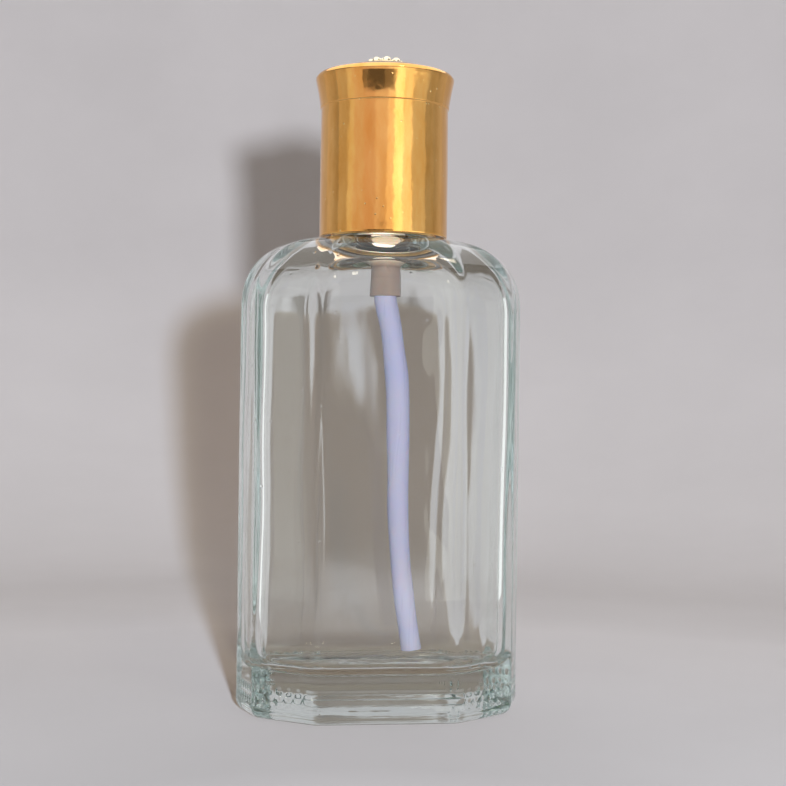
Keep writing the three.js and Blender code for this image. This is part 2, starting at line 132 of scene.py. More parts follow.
HOLD = 0.2
LONG_WALL = 3


def held(point, onward):
    """A point just past a fillet, so that a long straight wall is shaded straight."""
    reach = (onward - point).length
    return [point.lerp(onward, HOLD / reach)] if reach > LONG_WALL else []


def rounded(corners, closed, steps=4):
    """Outline points, with each (radius, height, fillet) corner eased along a curve."""
    points = [Vector((c[0], c[1])) for c in corners]
    outline = []
    for i, corner in enumerate(corners):
        fillet = corner[2] if len(corner) > 2 else 0
        at_end = not closed and i in (0, len(corners) - 1)
        if fillet == 0 or at_end:
            outline.append(points[i])
            continue
        before, after = points[i - 1], points[(i + 1) % len(points)]
        start = points[i].lerp(before, min(0.5, fillet / (before - points[i]).length))
        end = points[i].lerp(after, min(0.5, fillet / (after - points[i]).length))
        outline += held(start, before)
        for step in range(steps + 1):
            t = step / steps
            outline.append(start.lerp(points[i], t).lerp(points[i].lerp(end, t), t))
        outline += held(end, after)
    return outline


def joined_rings(rings, closed=False):
    """Vertices and faces through rings of points. A ring of one point is a tip."""
    vertices, starts = [], []
    for ring in rings:
        starts.append(len(vertices))
        vertices.extend(ring)
    around = max(len(ring) for ring in rings)
    pairs = len(rings) if closed else len(rings) - 1
    faces = []
    for level in range(pairs):
        other = (level + 1) % len(rings)
        a, b = starts[level], starts[other]
        for i in range(around):
            j = (i + 1) % around
            if len(rings[level]) == 1:
                faces.append((a, b + j, b + i))
            elif len(rings[other]) == 1:
                faces.append((a + i, a + j, b))
            else:
                faces.append((a + i, a + j, b + j, b + i))
    return vertices, faces


def turned(name, corners, segments=96, crease=32):
    """A piece turned about Z. The outline closes on itself unless it starts on the axis."""
    closed = corners[0][0] > 0
    rings = []
    for radius, height in rounded(corners, closed):
        if radius == 0:
            rings.append([(0, 0, height)])
            continue
        turn = [2 * math.pi * i / segments for i in range(segments)]
        rings.append([(radius * math.cos(a), radius * math.sin(a), height) for a in turn])
    return mesh_object(name, *joined_rings(rings, closed), crease)


def plain_ring(name, inside, outside, foot, top, fillet, segments=96):
    """A ring of rectangular section."""
    outline = ((inside, foot), (outside, foot), (outside, top), (inside, top))
    return turned(name, [(*corner, fillet) for corner in outline], segments)


def swept(name, path, side, radii, around=24):
    """A round bar, or with two radii a tube, along a path. side(i) is roughly across it."""
    loops = []
    for radius in radii:
        loop = []
        for i, point in enumerate(path):
            ahead = path[min(i + 1, len(path) - 1)]
            behind = path[max(i - 1, 0)]
            along = (ahead - behind).normalized()
            across = side(i)
            across = (across - along * across.dot(along)).normalized()
            up = along.cross(across)
            turn = [2 * math.pi * k / around for k in range(around)]
            loop.append([point + radius * (math.cos(a) * across + math.sin(a) * up) for a in turn])
        loops.append(loop)
    if len(loops) == 2:
        return mesh_object(name, *joined_rings(loops[0] + loops[1][::-1], closed=True))
    return mesh_object(name, *joined_rings([[path[0]], *loops[0], [path[-1]]]))


def bar_along_y(name, radius, start, end, height, segments=48):
    """A round bar along Y between two depths, used to cut holes."""
    path = [Vector((0, start, height)), Vector((0, end, height))]
    return swept(name, path, lambda i: Vector((1, 0, 0)), [radius], segments)


def cut(piece, *cutters):
    """Cuts each cutter out of the piece and removes the cutter."""
    for cutter in cutters:
        modifier = piece.modifiers.new("cut", "BOOLEAN")
        modifier.operation = "DIFFERENCE"
        modifier.solver = "EXACT"
        modifier.object = cutter
        state = bpy.context.evaluated_depsgraph_get()
        mesh = bpy.data.meshes.new_from_object(piece.evaluated_get(state))
        piece.modifiers.clear()
        piece.data = mesh
        bpy.data.objects.remove(cutter)
    return piece


def placed(piece, body, material, node):
    """Puts a finished piece on its body, in place of its CAD node."""
    piece.data.materials.append(material)
    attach(piece, body)
    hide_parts(node)


# ------------------------ glass body

SIDES = 10
FACE_TURN = 2 * math.pi / SIDES
REACHES = (23.45, 19.2, 14.75, 19.2, 23.45)
WALL = 2.6
OUTER_EDGE = 3
INNER_EDGE = 5.5
EDGE_STEPS = 8
FACE_STEPS = 22
SHOULDER_FOOT = 68.6
SHOULDER_TOP = NECK_TOP - 10
SHOULDER_FULLNESS = 2.5
FLOOR = 7.6
NECK_RADIUS = 6.9
NECK_FILLET = 1.5
BEAD_RADIUS = 7.5
BORE_RADIUS = 4.7


def meeting_point(angle_a, reach_a, angle_b, reach_b):
    """Where two faces meet, each given by its outward angle and its reach from the axis."""
    turn = math.sin(angle_b - angle_a)
    x = (reach_a * math.sin(angle_b) - reach_b * math.sin(angle_a)) / turn
    y = (reach_b * math.cos(angle_a) - reach_a * math.cos(angle_b)) / turn
    return Vector((x, y))


def section(inset, edge):
    """The ten-sided outline moved in by inset, with its edges rounded."""
    corners = []
    for face in range(SIDES):
        angle = FACE_TURN * (face + 0.5)
        here = REACHES[face % len(REACHES)] - inset - edge
        after = REACHES[(face + 1) % len(REACHES)] - inset - edge
        corners.append((angle, meeting_point(angle, here, angle + FACE_TURN, after)))
    outline = []
    for face, (angle, centre) in enumerate(corners):
        for step in range(EDGE_STEPS + 1):
            around = angle + FACE_TURN * step / EDGE_STEPS
            outline.append(centre + edge * Vector((math.cos(around), math.sin(around))))
        after_angle, after_centre = corners[(face + 1) % SIDES]
        after = after_centre + edge * Vector((math.cos(after_angle), math.sin(after_angle)))
        last = outline[-1]
        outline.extend(last.lerp(after, k / FACE_STEPS) for k in range(1, FACE_STEPS))
    return outline


def at_height(outline, height):
    return [Vector((p.x, p.y, height)) for p in outline]


def drawn_in(outline, radius, share, height):
    """The outline part of the way to a circle: share 1 is the outline, 0 the circle."""
    ring = []
    for p in outline:
        reach = radius + (p.length - radius) * share
        ring.append(Vector((p.x, p.y, 0)).normalized() * reach + UP * height)
    return ring


def shoulder(outline, radius, foot, top, steps):
    """Rings from the outline up to the circle, along a superellipse."""
    power = 2 / SHOULDER_FULLNESS
    rings = []
    for step in range(steps + 1):
        angle = math.pi / 2 * step / steps
        height = foot + (top - foot) * math.sin(angle) ** power
        share = max(0, math.cos(angle)) ** power
        rings.append(drawn_in(outline, radius, share, height))
    return rings


def dome_rings(outline, steps, foot, rise):
    """Rings of a dome over the outline, from just inside it to the tip on the axis."""
    rings = []
    for step in range(1, steps):
        t = step / steps
        height = foot + rise * t * (2 - t)
        rings.append([Vector((p.x * (1 - t), p.y * (1 - t), height)) for p in outline])
    return [*rings, [UP * (foot + rise)]]


def neck_finish(outline):
    """The neck stem, the bead that the pump is crimped on, and the mouth."""
    rings = []
    for degrees in (75, 60, 45, 30, 15, 0):
        angle = math.radians(degrees)
        radius = NECK_RADIUS + NECK_FILLET * (1 - math.cos(angle))
        rings.append((radius, SHOULDER_TOP + NECK_FILLET * (1 - math.sin(angle))))
    corners = [
        (NECK_RADIUS, SHOULDER_TOP + 3),
        (NECK_RADIUS, NECK_TOP - 5.2, 0.3),
        (BEAD_RADIUS, NECK_TOP - 4.4, 0.5),
        (BEAD_RADIUS, NECK_TOP - 0.1, 0.7),
        (BORE_RADIUS + 0.1, NECK_TOP, 0.7),
        (BORE_RADIUS, NECK_TOP - 2),
    ]
    rings += [(p.x, p.y) for p in rounded(corners, closed=False, steps=5)]
    return [drawn_in(outline, radius, 0, height) for radius, height in rings]


BEARING_INSET = 4.2
STIPPLES = 44
STIPPLE_DEPTH = 0.5


def stippled(ring, phase):
    """A ring of the base with the moulded marks that it stands on, spaced evenly round it."""
    lengths = [0]
    for a, b in zip(ring, ring[1:] + ring[:1]):
        lengths.append(lengths[-1] + (b - a).length)
    marked = []
    for point, length in zip(ring, lengths):
        wave = math.cos(2 * math.pi * (STIPPLES * length / lengths[-1] + phase))
        lift = STIPPLE_DEPTH * (0.5 - 0.5 * wave)
        marked.append(point + UP * lift)
    return marked


HEEL_HEIGHT = 2.4
KNURLED_RINGS = 16
KNURLED_STEP = 0.25
KNURL_ROWS = ((3.4, 0.9), (5.4, 0.7))
KNURL_DEPTH = 0.32


def knurled(rings):
    """The low walls, with two rows of dimples: (height of the row, half its width)."""
    marked = []
    for ring in rings:
        depth = 0
        for row, half in KNURL_ROWS:
            depth = max(depth, KNURL_DEPTH * max(0, 1 - abs(ring[0].z - row) / half))
        changed = []
        for number, point in enumerate(ring):
            period = 2 if abs(point.y) > 0.97 * REACHES[2] else 4
            inward = depth if number % period == 0 else 0
            changed.append(point - inward * Vector((point.x, point.y, 0)).normalized())
        marked.append(changed)
    return marked


def base_rings():
    """From the middle of the underside out over the bearing ring and round the heel."""
    recess = 0.9
    recess_edge = section(BEARING_INSET + 1.1, OUTER_EDGE)
    rings = dome_rings(recess_edge, 10, recess, rise=0.5)[::-1]
    rings.append(at_height(recess_edge, recess))
    for inset, height in ((0.75, 0.62), (0.4, 0.28), (0.12, 0.06)):
        rings.append(at_height(section(BEARING_INSET + inset, OUTER_EDGE), height))
    for step in range(6):
        inset = BEARING_INSET - 0.3 - 0.33 * step
        flat = at_height(section(inset, OUTER_EDGE), 0)
        rings.append(stippled(flat, 0.08 * step) if 0 < step < 5 else flat)
    heel_inset = 2
    for step in range(9):
        angle = math.pi / 2 * step / 8
        inset = heel_inset * (1 - math.sin(angle))
        rings.append(at_height(section(inset, OUTER_EDGE), HEEL_HEIGHT * (1 - math.cos(angle))))
    return rings


def cavity_rings():
    """From the bore down the inside of the shoulder and the walls to the domed floor."""
    corner, wall_top, steps = 4, SHOULDER_FOOT - 1, 36
    outline = section(WALL, INNER_EDGE)
    rings = shoulder(outline, BORE_RADIUS, wall_top, SHOULDER_TOP - 2.8, 26)[::-1]
    for step in range(1, steps + 1):
        height = wall_top + (FLOOR + corner - wall_top) * step / steps
        rings.append(at_height(outline, height))
    for step in range(1, 9):
        angle = math.pi / 2 * step / 8
        inset = WALL + corner * (1 - math.cos(angle))
        rings.append(at_height(section(inset, INNER_EDGE), FLOOR + corner * (1 - math.sin(angle))))
    return rings + dome_rings(section(WALL + corner, INNER_EDGE), 12, FLOOR, rise=0.7)


def rippled(rings, strength, length, streak, seed, shift=0):
    """Glass walls with soft waves, streak times longer up the wall than round it."""
    waved = []
    for ring in rings:
        moved = []
        for p in ring:
            at = Vector((p.x / length, p.y / length, p.z / (length * streak) + seed))
            push = strength * noise.noise(at) + shift
            out = Vector((p.x, p.y, 0)).normalized()
            moved.append(p + out * push)
        waved.append(moved)
    return waved


OUTER_RIPPLE = 0.05
THICK_SPOT = Vector((-3, 0, 66))
THICK_SPOT_SPREAD = (6, 15)
THICK_SPOT_DEPTH = 1.6


def thickened(rings):
    """The cavity's front wall with a thick spot in it, which magnifies what is behind it."""
    spread_x, spread_z = THICK_SPOT_SPREAD
    changed = []
    for ring in rings:
        moved = []
        for p in ring:
            off = p - THICK_SPOT
            fall = math.exp(-((off.x / spread_x) ** 2 + (off.z / spread_z) ** 2) / 2)
            depth = THICK_SPOT_DEPTH * fall if p.y < 0 else 0
            moved.append(p + Vector((0, depth, 0)))
        changed.append(moved)
    return changed


def glass_body():
    outline = section(0, OUTER_EDGE)
    steps = 30
    low_steps = range(1, KNURLED_RINGS + 1)
    walls = knurled([at_height(outline, HEEL_HEIGHT + KNURLED_STEP * k) for k in low_steps])
    knurled_top = HEEL_HEIGHT + KNURLED_STEP * KNURLED_RINGS
    for step in range(1, steps + 1):
        height = knurled_top + (SHOULDER_FOOT - knurled_top) * step / (steps + 1)
        walls.append(at_height(outline, height))
    walls += shoulder(outline, NECK_RADIUS + NECK_FILLET, SHOULDER_FOOT, SHOULDER_TOP, 30)
    outside = rippled(walls, OUTER_RIPPLE, length=11, streak=2.5, seed=3.1, shift=-OUTER_RIPPLE)
    inside = rippled(cavity_rings(), 0.4, length=9, streak=3.5, seed=11.7)
    inside = thickened(rippled(inside, 0.7, length=17, streak=1.5, seed=5.3))
    rings = [*base_rings(), *outside, *neck_finish(outline), *inside]
    return mesh_object("bottle_glass", *joined_rings(rings), crease=80)


# ------------------------ pump

SEAT = SPRING_FOOT - 3.2
SOCKET_TOP = SEAT - 0.4
SOCKET_FOOT = SOCKET_TOP - 7
TUBE_ROUTE = (
    (0, SOCKET_TOP - 0.2),
    (0, SOCKET_TOP - 4),
    (0.05, SOCKET_FOOT - 0.6),
    (1.1, 65),
    (2.2, 56),
    (2.9, 45),
    (3.4, 33),
    (4.4, 21),
    (6, 10.2),
)


def smooth_path(points, steps=8):
    """Points along a smooth curve through given ones."""
    path = []
    for i in range(len(points) - 1):
        before = points[max(i - 1, 0)]
        start, end = points[i], points[i + 1]
        after = points[min(i + 2, len(points) - 1)]
        span_before = max((start - before).length, 1e-6)
        span_here = (end - start).length
        span_after = max((after - end).length, 1e-6)
        lean_start = (end - before) / (span_before + span_here) * span_here
        lean_end = (after - start) / (span_here + span_after) * span_here
        for step in range(steps):
            t = step / steps
            keep = 2 * t**3 - 3 * t**2 + 1
            path.append(
                keep * start
                + (t**3 - 2 * t**2 + t) * lean_start
                + (1 - keep) * end
                + (t**3 - t**2) * lean_end
            )
    return [*path, points[-1]]


def dip_tube():
    path = smooth_path([Vector((x, 0, z)) for x, z in TUBE_ROUTE])
    return swept("tube", path, lambda i: Vector((0, 1, 0)), [TUBE_RADIUS, TUBE_BORE], 40)


def return_spring():
    """A coil of five turns, closed up at both ends."""
    wire, coil_radius, turns, around = 0.225, 2.45, 5, 26
    low, high = SPRING_FOOT + wire + FIT, SPRING_TOP - wire - FIT
    count = turns * around
    path = []
    for i in range(count + 1):
        angle = 2 * math.pi * i / around
        t = i / count
        height = low + (high - low) * (t - 0.12 * math.sin(2 * math.pi * t))
        path.append(Vector((coil_radius * math.cos(angle), coil_radius * math.sin(angle), height)))
    outward = [Vector((p.x, p.y, 0)) for p in path]
    return swept("coil_spring", path, lambda i: outward[i], [wire], 14)


def pump_housing():
    barrel, nipple = 4.2, 2.35
    corners = [
        (TUBE_RADIUS + FIT, SOCKET_FOOT, 0.05),
        (nipple - 0.05, SOCKET_FOOT, 0.2),
        (nipple, SPRING_FOOT - 4, 0.6),
        (barrel, SPRING_FOOT - 1.6, 0.6),
        (barrel, GASKET_TOP + FIT, 0.2),
        (FLANGE_RADIUS, GASKET_TOP + FIT, 0.1),
        (FLANGE_RADIUS, FLANGE_TOP, 0.2),
        (CHAMBER_RADIUS, FLANGE_TOP, 0.2),
        (CHAMBER_RADIUS, SPRING_FOOT, 0.1),
        (BALL_RADIUS + 0.35, SPRING_FOOT, 0.1),
        (BALL_RADIUS + 0.35, SEAT + 0.6, 0.1),
        (0.85, SEAT),
        (0.85, SOCKET_TOP),
        (TUBE_RADIUS + FIT, SOCKET_TOP),
    ]
    return turned("housing_barrel", corners)


def neck_gasket():
    inside, foot = BORE_RADIUS + 0.2, NECK_TOP + FIT
    return plain_ring("gasket_ring", inside, FLANGE_RADIUS, foot, GASKET_TOP, 0.2)


def inlet_ball():
    middle = SEAT + 0.95
    corners = []
    for step in range(25):
        angle = math.pi * step / 24 - math.pi / 2
        radius = 0 if step in (0, 24) else BALL_RADIUS * math.cos(angle)
        corners.append((radius, middle + BALL_RADIUS * math.sin(angle)))
    return turned("ball", corners, 48)


def piston_seat():
    flange_top = SPRING_TOP + 0.8
    top = span("piston_seat")[1]
    corners = [
        (0, SPRING_TOP - 1.3),
        (2, SPRING_TOP - 1.3, 0.3),
        (2, SPRING_TOP, 0.1),
        (2.9, SPRING_TOP, 0.15),
        (2.9, flange_top, 0.15),
        (2.2, flange_top, 0.1),
        (1.2, flange_top + 0.75, 0.2),
        (1.2, top, 0.2),
        (0, top),
    ]
    pin = turned("seat_pin", corners, 64)
    grooves = []
    for side in (-1, 1):
        path = [Vector((side * 1.25, 0, flange_top + 1.2)), Vector((side * 1.25, 0, top + 0.5))]
        grooves.append(swept("groove", path, lambda i: Vector((0, 1, 0)), [0.28], 16))
    return cut(pin, *grooves)


def piston():
    foot = span("piston")[0] + 0.2
    lip, waist, bore, body = CHAMBER_RADIUS - 0.08, 2.6, 1.55, foot + 3.2
    corners = [
        (bore, foot, 0.1),
        (waist - 0.4, foot, 0.1),
        (lip, foot - 0.2, 0.05),
        (lip, foot + 0.3, 0.15),
        (waist, foot + 1, 0.3),
        (waist, body - 1, 0.3),
        (lip, body - 0.3, 0.15),
        (lip, body, 0.05),
        (waist - 0.3, body - 0.2, 0.1),
        (2.05, body, 0.1),
        (2.05, body + 1.2, 0.15),
        (bore, body + 1.2, 0.1),
    ]
    return turned("piston_ring", corners)


def pump_stem():
    bell_bore, ceiling = 2.3, BELL_TOP - 0.7
    corners = [
        (bell_bore, FLANGE_TOP + 0.1, 0.1),
        (BELL_RADIUS, FLANGE_TOP + 0.1, 0.1),
        (BELL_RADIUS, BELL_TOP, 0.2),
        (STEM_RADIUS, BELL_TOP, 0.15),
        (STEM_RADIUS, STEM_TOP, 0.4),
        (0.8, STEM_TOP, 0.1),
        (0.8, BELL_TOP + 1, 0.1),
        (1.25, BELL_TOP + 1, 0.1),
        (1.25, ceiling, 0.1),
        (bell_bore, ceiling, 0.2),
    ]
    return turned("stem_tube", corners, 64)


def stem_seal():
    inside, outside = STEM_RADIUS + FIT, BELL_RADIUS + FIT
    foot, top = BELL_TOP + FIT, BELL_TOP + 0.7
    return plain_ring("seal_ring", inside, outside, foot, top, 0.15, 64)


def pump_turret():
    flange, tower = FLANGE_TOP + 1.1, 4.5
    corners = [
        (CHAMBER_RADIUS, FLANGE_TOP + FIT, 0.1),
        (FLANGE_RADIUS, FLANGE_TOP + FIT, 0.1),
        (FLANGE_RADIUS, flange, 0.2),
        (tower, flange, 0.2),
        (tower, TOWER_TOP, 0.5),
        (STEM_RADIUS + 0.15, TOWER_TOP, 0.2),
        (STEM_RADIUS + 0.15, BELL_TOP + 0.75, 0.1),
        (CHAMBER_RADIUS, BELL_TOP + 0.75, 0.2),
    ]
    return turned("turret_cap", corners)


def crimp_ferrule():
    inside, outside = BEAD_RADIUS + 0.1, BEAD_RADIUS + 0.1 + SHEET
    crimp = NECK_TOP - 5.15
    corners = [
        (4.6, FERRULE_TOP, 0.1),
        (4.6, FERRULE_TOP - SHEET, 0.1),
        (inside, FERRULE_TOP - SHEET, 0.4),
        (inside, crimp + 0.65, 0.2),
        (7.1, crimp, 0.2),
        (7.1, crimp - 0.4, 0.05),
        (7.1 + SHEET, crimp - 0.4, 0.05),
        (7.1 + SHEET, crimp - 0.05, 0.2),
        (outside, crimp + 0.55, 0.25),
        (outside, FERRULE_TOP, 0.7),
    ]
    return turned("ferrule_cup", corners)


def collar_insert():
    inside, outside, hook = 8.05, COLLAR_RADIUS - SHEET - FIT, NECK_TOP - 6.6
    foot, top = span("collar_insert")
    corners = [
        (outside, foot, 0.15),
        (outside, top, 0.3),
        (inside, top, 0.3),
        (inside, hook + 0.8, 0.2),
        (inside - 0.5, hook + 0.6, 0.15),
        (inside - 0.5, hook + 0.2, 0.15),
        (inside, hook, 0.2),
        (inside, foot, 0.2),
    ]
    return turned("collar_ring", corners)


def collar_shell():
    """The gold collar, with its foot turned in under the plastic ring."""
    inside, mouth = COLLAR_RADIUS - SHEET, BUTTON_RADIUS + 0.55
    lip, lip_sheet = 7.75, 0.24
    corners = [
        (lip, COLLAR_FOOT + lip_sheet, 0.08),
        (lip, COLLAR_FOOT, 0.1),
        (COLLAR_RADIUS, COLLAR_FOOT, 0.3),
        (COLLAR_RADIUS, COLLAR_TOP, 0.9),
        (mouth, COLLAR_TOP, 0.12),
        (mouth, COLLAR_TOP - SHEET, 0.08),
        (inside, COLLAR_TOP - SHEET, 0.5),
        (inside, COLLAR_FOOT + lip_sheet, 0.1),
    ]
    return turned("collar_skin", corners, 144)


# ------------------------ spray button

NOZZLE_RADIUS = 1.6


def actuator_core():
    outside = BUTTON_RADIUS - SHEET - 0.1
    roof, top = BUTTON_FOOT + 3.2, BUTTON_TOP - SHEET - FIT
    boss_foot = TOWER_TOP + STROKE + 0.15
    socket = STEM_RADIUS + FIT
    corners = [
        (0, STEM_TOP + FIT),
        (socket, STEM_TOP + FIT),
        (socket, boss_foot, 0.15),
        (2.6, boss_foot, 0.2),
        (2.6, roof, 0.2),
        (4.9, roof, 0.2),
        (4.9, BUTTON_FOOT + 0.2, 0.15),
        (outside, BUTTON_FOOT + 0.2, 0.15),
        (outside, top, 0.4),
        (0, top),
    ]
    core = turned("button_core", corners)
    pocket = bar_along_y("pocket", NOZZLE_RADIUS + 0.1, -outside - 1, -3.6, NOZZLE_HEIGHT)
    channel = bar_along_y("channel", 0.5, -4, 0, NOZZLE_HEIGHT, 24)
    return cut(core, pocket, channel)


def actuator_shell():
    inside = BUTTON_RADIUS - SHEET
    dish = 0.2
    corners = [
        (0, BUTTON_TOP - SHEET),
        (inside, BUTTON_TOP - SHEET, 0.3),
        (inside, BUTTON_FOOT, 0.08),
        (BUTTON_RADIUS, BUTTON_FOOT, 0.12),
        (BUTTON_RADIUS, BUTTON_TOP, 1),
        (BUTTON_RADIUS - 1.6, BUTTON_TOP, 0.6),
        (BUTTON_RADIUS - 2.6, BUTTON_TOP - dish, 0.6),
        (0, BUTTON_TOP - dish),
    ]
    shell = turned("button_skin", corners, 144)
    window = bar_along_y("window", NOZZLE_RADIUS + 0.2, -BUTTON_RADIUS - 1, -3, NOZZLE_HEIGHT, 64)
    return cut(shell, window)


def nozzle_insert():
    """The little disc in the button's front, dished round its orifice."""
    front, back = (-corner.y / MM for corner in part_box("nozzle_insert"))
    corners = [
        (0, back),
        (NOZZLE_RADIUS, back, 0.1),
        (NOZZLE_RADIUS, front, 0.2),
        (0.9, front, 0.15),
        (0.45, front - 0.5, 0.1),
        (0.2, front - 0.55, 0.05),
        (0.2, front - 1.5),
        (0, front - 1.5),
    ]
    disc = turned("nozzle_disc", corners, 64)
    for vertex in disc.data.vertices:
        x, y, z = vertex.co
        vertex.co = (x, -z, y + NOZZLE_HEIGHT * MM)
    return disc


# ------------------------ cap

LINER_INSIDE = 9.5
GRIP_RIBS = 6
RIB_HEIGHT = 11
RIB_INSIDE = COLLAR_RADIUS + 0.1


def add_rib(work, turn):
    """One upright grip rib on the inside of the liner, eased at both of its ends."""
    out = Vector((math.cos(turn), math.sin(turn), 0))
    across = Vector((-out.y, out.x, 0))
    root, lead = LINER_INSIDE + FIT, 0.25
    rings = []
    for level, ease in ((0, lead), (0.4, 0), (RIB_HEIGHT - 0.8, 0), (RIB_HEIGHT, lead)):
        height = UP * (LINER_FOOT + 0.5 + level)
        ring = []
        for side, share in ((-0.4, 0), (-0.25, 1), (0.25, 1), (0.4, 0)):
            reach = root - share * (root - RIB_INSIDE - ease)
            ring.append(work.verts.new((out * reach + across * side + height) * MM))
        rings.append(ring)
    for low, high in zip(rings, rings[1:]):
        for k in range(4):
            work.faces.new((low[k], low[(k + 1) % 4], high[(k + 1) % 4], high[k]))
    work.faces.new(rings[0][::-1])
    work.faces.new(rings[-1])


def cap_liner():
    outside, ceiling = radius_of("cap_liner"), LINER_TOP - 0.7
    corners = [
        (0, ceiling),
        (LINER_INSIDE, ceiling, 0.5),
        (LINER_INSIDE, LINER_FOOT, 0.3),
        (outside, LINER_FOOT, 0.2),
        (outside, LINER_TOP, 0.3),
        (0, LINER_TOP),
    ]
    cup = turned("cap_inner_cup", corners, 144)
    work = bmesh.new()
    work.from_mesh(cup.data)
    for rib in range(GRIP_RIBS):
        add_rib(work, 2 * math.pi * (rib + 0.5) / GRIP_RIBS)
    bmesh.ops.recalc_face_normals(work, faces=work.faces)
    work.to_mesh(cup.data)
    work.free()
    return cup


def cap_shell():
    """A straight sleeve up to the crease, then a head that flares to its rolled rim."""
    inside, sleeve_top = radius_of("cap_liner") + FIT, CAP_RADIUS - 0.08
    crease_step, flare_steps = 0.17, 12
    corners = [
        (0, LINER_TOP + 0.1),
        (inside, LINER_TOP + 0.1, 0.3),
        (inside, CAP_RIM, 0.1),
        (CAP_RADIUS, CAP_RIM, 0.25),
        (CAP_RADIUS, CAP_RIM + 12),
        (sleeve_top, CAP_CREASE - 0.05, 0.06),
        (sleeve_top + 0.2, CAP_CREASE + 0.15, 0.06),
    ]
    for step in range(1, flare_steps + 1):
        t = step / flare_steps
        spread = crease_step + (FLARE_RADIUS - 0.03 - sleeve_top - crease_step) * t**1.3
        rise = CAP_CREASE + 0.12 + (FLARE_HEIGHT - 0.3 - CAP_CREASE) * t
        corners.append((sleeve_top + spread, rise))
    corners += [
        (FLARE_RADIUS - 0.05, FLARE_HEIGHT + 0.15),
        (FLARE_RADIUS - 0.5, FLARE_HEIGHT + 0.75, 0.3),
        (FLARE_RADIUS - 1.4, FLARE_HEIGHT + 0.95, 0.5),
        (9.75, FLARE_HEIGHT + 1.1, 0.15),
        (9.7, PLATE_FOOT - FIT, 0.1),
        (0, PLATE_FOOT - FIT),
    ]
    return turned("cap_skin", corners, 192, crease=40)


def cap_plate():
    """The domed disc in the head, with a fine step round its flat middle."""
    edge, rim, flat = radius_of("cap_top_plate"), 110.35, 5
    corners = [(0, PLATE_FOOT), (edge, PLATE_FOOT, 0.1), (edge, rim, 0.2)]
    rise = PLATE_TOP - rim - 0.05
    for step in range(1, 9):
        t = step / 8
        corners.append((edge - (edge - flat) * t, rim + rise * math.sin(math.pi / 2 * t)))
    corners += [(4.7, PLATE_TOP - 0.05), (4.6, PLATE_TOP, 0.05), (4, PLATE_TOP, 0.05)]
    corners += [(3.9, PLATE_TOP - 0.1, 0.05), (0, PLATE_TOP - 0.1)]
    return turned("cap_disc", corners, 144)


def add_bead(work, radius, centre):
    """One cut bead: a ball of flat facets."""
    made = bmesh.ops.create_icosphere(work, subdivisions=2, radius=radius * MM)
    corners = set(made["verts"])
    for vertex in corners:
        vertex.co += Vector(centre) * MM
    for face in work.faces:
        if face.verts[0] in corners:
            face.smooth = False


def cap_rosette():
    """A flower of faceted beads on a small foot, with seed beads between the petals."""
    petals, petal_radius, petal_ring = 8, 0.83, 2.4
    seed_radius, seed_ring, middle_radius = 0.3, 2.95, 1.27
    foot = PLATE_TOP + FIT
    corners = [(0, foot), (3.3, foot, 0.1), (3.3, foot + 0.6, 0.2), (0, foot + 0.6)]
    flower = turned("cap_beads", corners, 64)
    work = bmesh.new()
    work.from_mesh(flower.data)
    for petal in range(petals):
        turn = 2 * math.pi * petal / petals
        spot = (petal_ring * math.cos(turn), petal_ring * math.sin(turn), foot + 0.65)
        add_bead(work, petal_radius, spot)
        turn += math.pi / petals
        spot = (seed_ring * math.cos(turn), seed_ring * math.sin(turn), foot + 0.7)
        add_bead(work, seed_radius, spot)
    add_bead(work, middle_radius, (0, 0, ROSETTE_TOP - middle_radius - 0.01))
    work.to_mesh(flower.data)
    work.free()
    return flower


# ------------------------ materials


def add(tree, kind, inputs=(), **settings):
    """A shader node with its settings and inputs, each input a value or another's output."""
    node = tree.nodes.new("ShaderNode" + kind)
    for key, value in settings.items():
        setattr(node, key, value)
    for key, value in inputs:
        if isinstance(value, bpy.types.NodeSocket):
            tree.links.new(value, node.inputs[key])
        else:
            node.inputs[key].default_value = value
    return node


def new_material(name, **values):
    """A material with its Principled shader's plain values set."""
    material = bpy.data.materials.new(name)
    material.use_nodes = True
    shader = material.node_tree.nodes["Principled BSDF"]
    for key, value in values.items():
        shader.inputs[key.replace("_", " ")].default_value = value
    return material, material.node_tree, shader


def place(tree, stretch=(1, 1, 1)):
    """Positions on the piece in metres, stretched along each axis."""
    object_place = add(tree, "TexCoord").outputs["Object"]
    mapping = add(tree, "Mapping", [("Vector", object_place), ("Scale", stretch)])
    return mapping.outputs["Vector"]


def cloud(tree, vector, size, detail=3, rough=0.55):
    """Soft random patches about size millimetres across."""
    inputs = [("Vector", vector), ("Scale", 1 / (size * MM)), ("Detail", detail)]
    inputs.append(("Roughness", rough))
    return add(tree, "TexNoise", inputs).outputs["Fac"]


def spots(tree, vector, size, share):
    """Small round specks in cells of about size millimetres; share sets their width."""
    inputs = [("Vector", vector), ("Scale", 1 / (size * MM))]
    distance = add(tree, "TexVoronoi", inputs).outputs["Distance"]
    return between(tree, distance, share, share * 0.4, 0, 1)


def between(tree, value, low, high, out_low, out_high):
    """A value moved from one range to another and held inside it."""
    names = ("Value", "From Min", "From Max", "To Min", "To Max")
    inputs = zip(names, (value, low, high, out_low, out_high))
    return add(tree, "MapRange", inputs).outputs["Result"]


def mixed(tree, share, first, second):
    """A colour between two others, each red, green and blue or another node's output."""
    inputs = [(0, share)]
    for index, value in ((6, first), (7, second)):
        inputs.append((index, value if isinstance(value, bpy.types.NodeSocket) else (*value, 1)))
    return add(tree, "Mix", inputs, data_type="RGBA").outputs[2]


